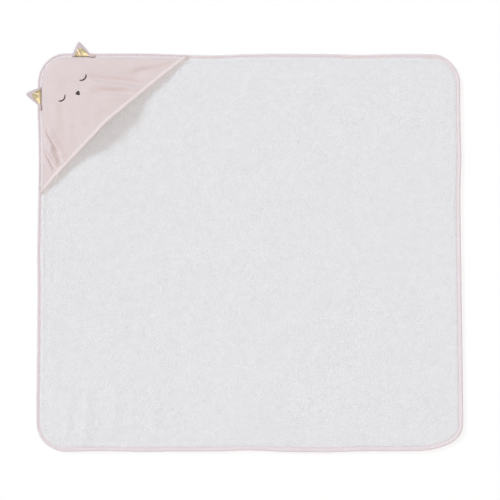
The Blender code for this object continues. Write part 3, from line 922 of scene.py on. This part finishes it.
class EarPlace:
    """An ear's own directions: along its seam towards the hood's corner, and out from the towel."""

    def __init__(self, side):
        self.side = side
        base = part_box(f"ear_{side}_back")
        height = base[0].z
        if side == "left":
            self.origin = np.array([LEFT + EAR_SEAM_INSET, TOP - EAR_FROM_CORNER, height])
            self.out, self.along = np.array([-1.0, 0, 0]), np.array([0, 1.0, 0])
        else:
            self.origin = np.array([LEFT + EAR_FROM_CORNER, TOP - EAR_SEAM_INSET, height])
            self.out, self.along = np.array([0, 1.0, 0]), np.array([-1.0, 0, 0])

    def points(self, along, out, up):
        parts = [np.asarray(v, float).ravel()[:, None] for v in (along, out, up)]
        return self.origin + self.along * parts[0] + self.out * parts[1] + np.array([0, 0, 1.0]) * parts[2]


def ear_half_width(share):
    """Half an ear's width, as a part of half its base, from its seam to its tip."""
    return np.maximum(1 - share, 0) ** 0.94 * 0.90 + 0.10 * np.sqrt(np.maximum(1 - share**6, 0))


def ear_height(across, share, out):
    """The ear's middle surface: tucked down into its seam, gently cupped, and lifting to its tip."""
    tuck = -0.0024 * np.exp(-np.maximum(out + EAR_TUCK, 0) / 0.0020)
    cup = 0.0016 * (1 - across**2) * np.exp(-((share / 0.62) ** 2))
    return tuck + cup + 0.0012 * share


def ear_sheet(place, name, material, low, high, border=0.0, tip_border=0.0, bluntness=1.0, pleats=0.0):
    """One closed layer of an ear, between two heights above its middle surface.

    It stops short of the ear's edges and tip by its borders.
    """
    columns, rows = 41, 33
    across = np.linspace(-1, 1, columns)[:, None] * np.ones(rows)[None, :]
    share = np.linspace(0, 1, rows)[None, :] ** 0.8 * np.ones(columns)[:, None]
    reach = EAR_HEIGHT - tip_border
    out = (reach + EAR_TUCK) * share - EAR_TUCK
    whole = np.maximum(out, 0) / EAR_HEIGHT
    half = np.maximum(EAR_BASE / 2 * ear_half_width(share) ** bluntness - border, 0.0003)
    centre = EAR_LEAN * whole**0.95
    along = centre + across * half
    full_half = EAR_BASE / 2 * np.maximum(ear_half_width(whole), 0.05)
    reach_across = np.clip((along - centre) / full_half, -1, 1)
    fold = 1.2 + np.cos(reach_across * 9.0 + 2.2) * (1 - 0.5 * whole) + 0.35 * np.cos(reach_across * 19.0)
    middle = ear_height(reach_across, whole, out) + pleats * fold * smooth_step((out - 0.0025) / 0.0080)
    rim = 1 - 0.7 * np.maximum(np.abs(across) ** 6, share**8)
    centre_height = (low + high) / 2
    half_height = (high - low) / 2 * rim
    under = place.points(along, out, middle + centre_height - half_height)
    top = place.points(along, out, middle + centre_height + half_height)
    faces = grid_faces(columns, rows) + grid_faces(columns, rows, start=len(top))
    index = np.arange(columns * rows).reshape(columns, rows)
    rim_loop = np.concatenate([index[:, 0], index[-1, 1:], index[-2::-1, -1], index[0, -2:0:-1]]).tolist()
    faces += [[a, b, b + len(top), a + len(top)] for a, b in zip(rim_loop, rim_loop[1:] + rim_loop[:1])]
    return add_mesh(name, np.concatenate([under, top]), faces, material)


def ear_tail(place):
    """The rolled end of the ear's seam allowance, on the side away from the hood's corner."""
    rings, sides = 15, 12
    points = []
    for ring in range(rings):
        share = ring / (rings - 1)
        along = -EAR_BASE / 2 * (0.50 + 0.80 * share)
        radius = EAR_TAIL_RADIUS * math.sin(math.pi * (0.06 + 0.88 * share)) ** 0.6
        for side in range(sides):
            angle = 2 * math.pi * side / sides
            out = 0.0020 + radius * math.cos(angle) - 0.0012 * share
            points.append((along, out, 0.0012 + radius * 0.55 * math.sin(angle)))
    return place.points(*np.array(points).T), tube_faces(rings, sides)


def add_ear_seam_shade_line(place, material):
    """The line of stitches that closes an ear's seam and runs on under its tail, in dark brown thread: a
    painted shade line along the ear's base and under its tail.
    """
    count = 60
    share = np.linspace(0, 1, count)
    along = EAR_BASE / 2 * (0.98 - 2.26 * share)
    past_ear = smooth_step((-along / (EAR_BASE / 2) - 0.5) / 0.7)
    out = -0.0010 - 0.0014 * past_ear + 0.0016 * smooth_step((-along / (EAR_BASE / 2) - 1.1) / 0.2)
    line = place.points(along, out, np.full(count, EAR_SEAM_LEVEL))
    centres, alongs = spaced(line, EAR_SEAM_PITCH)
    return add_stitches(f"ear_{place.side}_seam", centres, alongs, EAR_SEAM_STITCH, EAR_SEAM_THREAD, material)


def add_ear(side, pink, tail_pink, gold):
    """An ear's turned pink pocket and the gold cloth on its front."""
    place = EarPlace(side)
    back = ear_sheet(place, f"ear_{side}_cloth", pink, low=0.0001, high=0.0016)
    front = ear_sheet(
        place, f"ear_{side}_gold", gold, low=0.0013, high=0.0021,
        border=GOLD_BORDER, tip_border=GOLD_TIP_BORDER, bluntness=0.75, pleats=0.0007,
    )
    points, faces = ear_tail(place)
    tail = add_mesh(f"ear_{side}_tail", points, faces, tail_pink)
    return place, back, front, tail


def bends_at_seam(piece):
    """Bakes the piece's transform into its mesh; nothing here bends it at the ear's seam."""
    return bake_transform(piece)


# Light, floor and camera -----------------------------------------------------------------------


def add_floor():
    mesh = bpy.data.meshes.new("floor")
    reach, level = 12.0, -0.0006
    corners = ((-1, -1), (1, -1), (1, 1), (-1, 1))
    mesh.from_pydata([(x * reach, y * reach, level) for x, y in corners], [], [(0, 1, 2, 3)])
    look = Look("floor", (0.36, 0.36, 0.36), 0.9)
    look.set("Emission Color", (1.0, 1.0, 1.0, 1.0))
    look.set("Emission Strength", 0.64)
    mesh.materials.append(look.material)
    floor = bpy.data.objects.new("floor", mesh)
    bpy.context.scene.collection.objects.link(floor)


def add_sun(name, strength, spread, elevation, plan, colour):
    """A soft directional light: spread is its angular size, and plan points towards it."""
    light = bpy.data.lights.new(name, "SUN")
    light.energy = strength
    light.angle = math.radians(spread)
    light.color = colour
    level = math.cos(math.radians(elevation))
    towards = Vector((plan[0] * level, plan[1] * level, math.sin(math.radians(elevation))))
    lamp = bpy.data.objects.new(name, light)
    lamp.rotation_mode = "QUATERNION"
    lamp.rotation_quaternion = towards.to_track_quat("Z", "Y")
    bpy.context.scene.collection.objects.link(lamp)


def add_light():
    """An even warm-white surround, a low cool key from the upper left, and a warm fill from overhead."""
    world = bpy.data.worlds.new("surround")
    world.use_nodes = True
    background = world.node_tree.nodes["Background"]
    background.inputs["Color"].default_value = (0.980, 0.945, 0.935, 1.0)
    background.inputs["Strength"].default_value = 0.395
    bpy.context.scene.world = world
    add_sun("key", 1.80, 16, 26.5, (-0.80, 0.60), (0.762, 0.897, 1.0))
    add_sun("fill", 1.33, 40, 68, (0.69, -0.724), (0.985, 0.930, 0.880))


def add_camera():
    """Straight above, leaning 2.3 degrees towards the towel's near edge."""
    distance = 2.5
    tilt = math.radians(2.3)
    target = Vector((0.0010, 0.0031, 0.0))
    back = Vector((0.0, -math.sin(tilt), math.cos(tilt)))
    data = bpy.data.cameras.new("camera")
    data.sensor_width = 36.0
    data.lens = 95.5
    camera = bpy.data.objects.new("camera", data)
    camera.location = target + back * distance
    camera.rotation_mode = "QUATERNION"
    camera.rotation_quaternion = back.to_track_quat("Z", "Y")
    data.clip_start, data.clip_end = 0.05, 60.0
    bpy.context.scene.collection.objects.link(camera)
    bpy.context.scene.camera = camera
    bpy.context.scene.view_settings.view_transform = "Standard"


# Putting it together ---------------------------------------------------------------------------


def stands_for(piece, slot, *nodes):
    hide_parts(*nodes)
    return piece


def build():
    add_camera()
    add_light()
    add_floor()
    terry, gold = terry_look(), gold_look()
    # The ears' velour is a darker copy of the hood's pink velour: painted shade.
    velour, ear_shaded_pink = velour_look("hood_velour", HOOD_PINK), velour_look("ear_velour_shaded", EAR_SHADED_PINK)
    tail_pink = velour_look("ear_tail_velour", EAR_TAIL_PINK)
    tape, mouth = tape_look("edge_tape", TAPE_PINK), tape_look("mouth_tape", MOUTH_PINK)
    brown = thread_look("brown_thread", THREAD_BROWN, 0.5, 0.2)
    pink_thread = thread_look("pink_thread", THREAD_PINK, 0.6, 0.1)

    cloth = stands_for(add_terry(terry), "terry", "terry_panel", "terry_corner")
    rim = stands_for(add_edge_tape(tape), "edge_tape", "edge_binding", "edge_binding_corner")
    stitches = add_edge_stitches(pink_thread)
    stands_for(stitches, "pink_thread", "edge_stitching", "edge_stitching_corner")
    for piece in (cloth, rim, stitches):
        bends_at_fold(piece)

    surface = hood_surface()
    lining = add_hood_layer("hood_lining_cloth", surface, -LINING_THICKNESS, -0.0001, terry)
    outer = add_hood_layer("hood_outer_cloth", surface, 0.0001, OUTER_THICKNESS, velour)
    mouth_tape = add_mouth_tape(surface, mouth)
    mouth_stitches = add_mouth_stitches(surface, pink_thread)
    top = Surface(outer)
    face = [
        add_eye("eye_left_satin", top, -1, brown),
        add_eye("eye_right_satin", top, 1, brown),
        add_nose(top, brown),
    ]
    stands_for(lining, "terry", "hood_lining")
    stands_for(outer, "hood_cloth", "hood_outer")
    stands_for(mouth_tape, "mouth_tape", "hood_mouth_binding")
    stands_for(mouth_stitches, "pink_thread", "hood_mouth_stitching")
    stands_for(face[0], "brown_thread", "eye_left_embroidery")
    stands_for(face[1], "brown_thread", "eye_right_embroidery")
    stands_for(face[2], "brown_thread", "nose_embroidery")
    for piece in (lining, outer, mouth_tape, mouth_stitches, *face):
        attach(piece, "hooded_corner")

    for side in ("left", "right"):
        place, back, front, tail = add_ear(side, ear_shaded_pink, tail_pink, gold)
        stands_for(back, "hood_cloth", f"ear_{side}_back")
        stands_for(front, "gold_cloth", f"ear_{side}_front")
        # The ear seam's dark stitches are painted shade along the ear's base and under its tail.
        seam = add_ear_seam_shade_line(place, brown)
        for piece in (tail, seam):
            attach(piece, "hooded_corner")
        for piece in (back, front):
            bends_at_seam(piece)


build()
